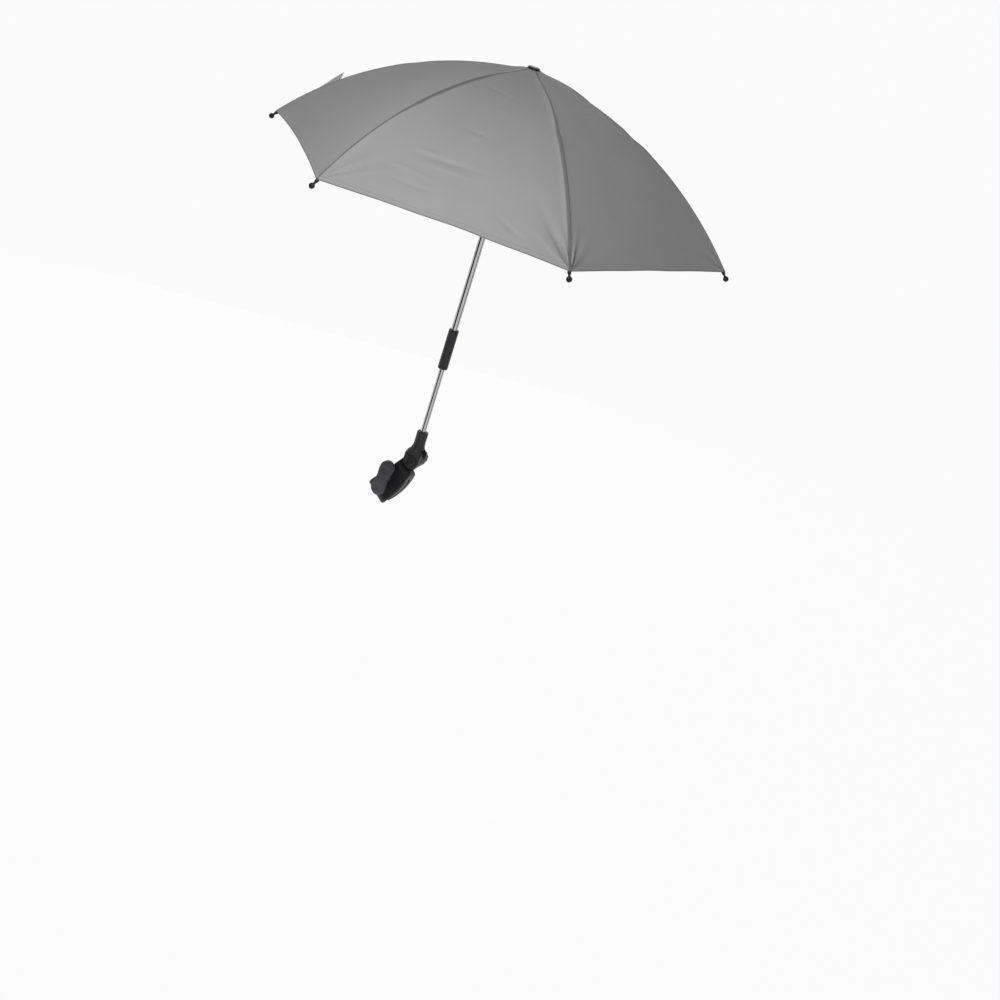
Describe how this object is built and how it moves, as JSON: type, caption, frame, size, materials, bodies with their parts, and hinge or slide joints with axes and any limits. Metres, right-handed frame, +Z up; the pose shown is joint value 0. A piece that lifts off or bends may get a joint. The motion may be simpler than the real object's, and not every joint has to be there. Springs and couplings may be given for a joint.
{
  "type": "pram parasol",
  "caption": "Folding clamp-on parasol: grey ribbed cloth canopy on a telescopic chrome shaft, tilting on a fork over a tube clamp with a wing screw.",
  "frame": {"origin": "middle of the clamped tube, halfway along the clamp's rubber pads", "axes": "+Z up the shaft to the canopy, Y along the tilt pivot with -Y on the wing screw's side, +X towards the low end of the clamped tube"},
  "size_m": [0.7072, 0.6974, 0.7208],
  "materials": {
    "canopy_cloth": "woven polyester with a soft sheen",
    "webbing": "ribbed webbing",
    "chrome_tube": "polished",
    "steel": "zinc plated",
    "black_plastic": "satin moulded",
    "rubber": "matte"
  },
  "bodies": {
    "clamp": {"clamp_body": "black_plastic", "clamp_nut": "steel", "fixed_pad": "rubber"},
    "jaw": {"loose_jaw": "black_plastic", "loose_pad": "rubber", "screw_washer": "steel"},
    "wing_screw": {"clamp_screw": "steel", "wing_knob": "black_plastic"},
    "tilt_head": {"fork_socket": "black_plastic", "lower_rod": "chrome_tube", "socket_rivet": "steel", "pivot_bolt": "black_plastic", "tilt_washers": "steel"},
    "tilt_nut": {"hand_nut": "black_plastic"},
    "upper_shaft": {"upper_tube": "chrome_tube", "grip_collet": "black_plastic", "crown": "black_plastic", "hinge_wire": "steel", "top_cap": "black_plastic", "canopy": "canopy_cloth", "closing_strap": "webbing", "catch_spring": "steel"},
    "collar": {"twist_collar": "black_plastic"},
    "runner_hub": {"runner": "black_plastic"},
    "rib_arm_1": {"rib_1": "steel", "rib_joint_1": "steel", "rib_pin_1": "steel", "rib_tip_1": "black_plastic"},
    "stretcher_arm_1": {"stretcher_1": "steel"},
    "rib_arm_2": {"rib_2": "steel", "rib_joint_2": "steel", "rib_pin_2": "steel", "rib_tip_2": "black_plastic"},
    "stretcher_arm_2": {"stretcher_2": "steel"},
    "rib_arm_3": {"rib_3": "steel", "rib_joint_3": "steel", "rib_pin_3": "steel", "rib_tip_3": "black_plastic"},
    "stretcher_arm_3": {"stretcher_3": "steel"},
    "rib_arm_4": {"rib_4": "steel", "rib_joint_4": "steel", "rib_pin_4": "steel", "rib_tip_4": "black_plastic"},
    "stretcher_arm_4": {"stretcher_4": "steel"},
    "rib_arm_5": {"rib_5": "steel", "rib_joint_5": "steel", "rib_pin_5": "steel", "rib_tip_5": "black_plastic"},
    "stretcher_arm_5": {"stretcher_5": "steel"},
    "rib_arm_6": {"rib_6": "steel", "rib_joint_6": "steel", "rib_pin_6": "steel", "rib_tip_6": "black_plastic"},
    "stretcher_arm_6": {"stretcher_6": "steel"}
  },
  "joints": [
    {"name": "jaw_slide", "type": "slide", "parent": "clamp", "child": "jaw", "axis": [0, -1, 0], "range_m": [0, 0.01]},
    {"name": "wing_turn", "type": "hinge", "parent": "jaw", "child": "wing_screw", "pos_m": [0.0046, 0, 0.0253], "axis": [0, -1, 0], "range_deg": [0, 1802]},
    {"name": "tilt", "type": "hinge", "parent": "clamp", "child": "tilt_head", "pos_m": [0.0352, 0, 0.0661], "axis": [0, 1, 0], "range_deg": [-53, 127]},
    {"name": "hand_nut_turn", "type": "hinge", "parent": "tilt_head", "child": "tilt_nut", "pos_m": [0.0352, 0, 0.0661], "axis": [0, 1, 0], "range_deg": [-180, 0]},
    {"name": "shaft_slide", "type": "slide", "parent": "tilt_head", "child": "upper_shaft", "axis": [0, 0, 1], "range_m": [-0.1, 0.07]},
    {"name": "collar_twist", "type": "hinge", "parent": "upper_shaft", "child": "collar", "pos_m": [0.0352, 0, 0.2561], "axis": [0, 0, 1], "range_deg": [-90, 0]},
    {"name": "runner_slide", "type": "slide", "parent": "upper_shaft", "child": "runner_hub", "axis": [0, 0, 1], "range_m": [-0.21746, 0], "deforming": ["canopy", "closing_strap", "catch_spring"]},
    {"name": "rib_fold_1", "type": "hinge", "parent": "upper_shaft", "child": "rib_arm_1", "pos_m": [0.0459, 0.00257, 0.6841], "axis": [-0.2334, 0.9724, 0], "range_deg": [0, 58.7]},
    {"name": "stretcher_fold_1", "type": "hinge", "parent": "rib_arm_1", "child": "stretcher_arm_1", "pos_m": [0.19492, 0.03834, 0.63815], "axis": [-0.2334, 0.9724, 0], "range_deg": [-117.2, 0]},
    {"name": "rib_fold_2", "type": "hinge", "parent": "upper_shaft", "child": "rib_arm_2", "pos_m": [0.03832, 0.01055, 0.6841], "axis": [-0.9588, 0.284, 0], "range_deg": [0, 58.7]},
    {"name": "stretcher_fold_2", "type": "hinge", "parent": "rib_arm_2", "child": "stretcher_arm_2", "pos_m": [0.08185, 0.15749, 0.63815], "axis": [-0.9588, 0.284, 0], "range_deg": [-117.2, 0]},
    {"name": "rib_fold_3", "type": "hinge", "parent": "upper_shaft", "child": "rib_arm_3", "pos_m": [0.02763, 0.00798, 0.6841], "axis": [-0.7254, -0.6884, 0], "range_deg": [0, 58.7]},
    {"name": "stretcher_fold_3", "type": "hinge", "parent": "rib_arm_3", "child": "stretcher_arm_3", "pos_m": [-0.07787, 0.11915, 0.63815], "axis": [-0.7254, -0.6884, 0], "range_deg": [-117.2, 0]},
    {"name": "rib_fold_4", "type": "hinge", "parent": "upper_shaft", "child": "rib_arm_4", "pos_m": [0.0245, -0.00257, 0.6841], "axis": [0.2334, -0.9724, 0], "range_deg": [0, 58.7]},
    {"name": "stretcher_fold_4", "type": "hinge", "parent": "rib_arm_4", "child": "stretcher_arm_4", "pos_m": [-0.12452, -0.03834, 0.63815], "axis": [0.2334, -0.9724, 0], "range_deg": [-117.2, 0]},
    {"name": "rib_fold_5", "type": "hinge", "parent": "upper_shaft", "child": "rib_arm_5", "pos_m": [0.03208, -0.01055, 0.6841], "axis": [0.9588, -0.284, 0], "range_deg": [0, 58.7]},
    {"name": "stretcher_fold_5", "type": "hinge", "parent": "rib_arm_5", "child": "stretcher_arm_5", "pos_m": [-0.01145, -0.15749, 0.63815], "axis": [0.9588, -0.284, 0], "range_deg": [-117.2, 0]},
    {"name": "rib_fold_6", "type": "hinge", "parent": "upper_shaft", "child": "rib_arm_6", "pos_m": [0.04277, -0.00798, 0.6841], "axis": [0.7254, 0.6884, 0], "range_deg": [0, 58.7]},
    {"name": "stretcher_fold_6", "type": "hinge", "parent": "rib_arm_6", "child": "stretcher_arm_6", "pos_m": [0.14827, -0.11915, 0.63815], "axis": [0.7254, 0.6884, 0], "range_deg": [-117.2, 0]}
  ],
  "couplings": [
    {"joint": "wing_turn", "follows": "jaw_slide", "rad_per_m": 3141.6},
    {"joint": "rib_fold_1", "follows": "runner_slide", "rad_per_m": -4.6952},
    {"joint": "stretcher_fold_1", "follows": "runner_slide", "rad_per_m": 9.3904},
    {"joint": "rib_fold_2", "follows": "runner_slide", "rad_per_m": -4.6952},
    {"joint": "stretcher_fold_2", "follows": "runner_slide", "rad_per_m": 9.3904},
    {"joint": "rib_fold_3", "follows": "runner_slide", "rad_per_m": -4.6952},
    {"joint": "stretcher_fold_3", "follows": "runner_slide", "rad_per_m": 9.3904},
    {"joint": "rib_fold_4", "follows": "runner_slide", "rad_per_m": -4.6952},
    {"joint": "stretcher_fold_4", "follows": "runner_slide", "rad_per_m": 9.3904},
    {"joint": "rib_fold_5", "follows": "runner_slide", "rad_per_m": -4.6952},
    {"joint": "stretcher_fold_5", "follows": "runner_slide", "rad_per_m": 9.3904},
    {"joint": "rib_fold_6", "follows": "runner_slide", "rad_per_m": -4.6952},
    {"joint": "stretcher_fold_6", "follows": "runner_slide", "rad_per_m": 9.3904}
  ]
}
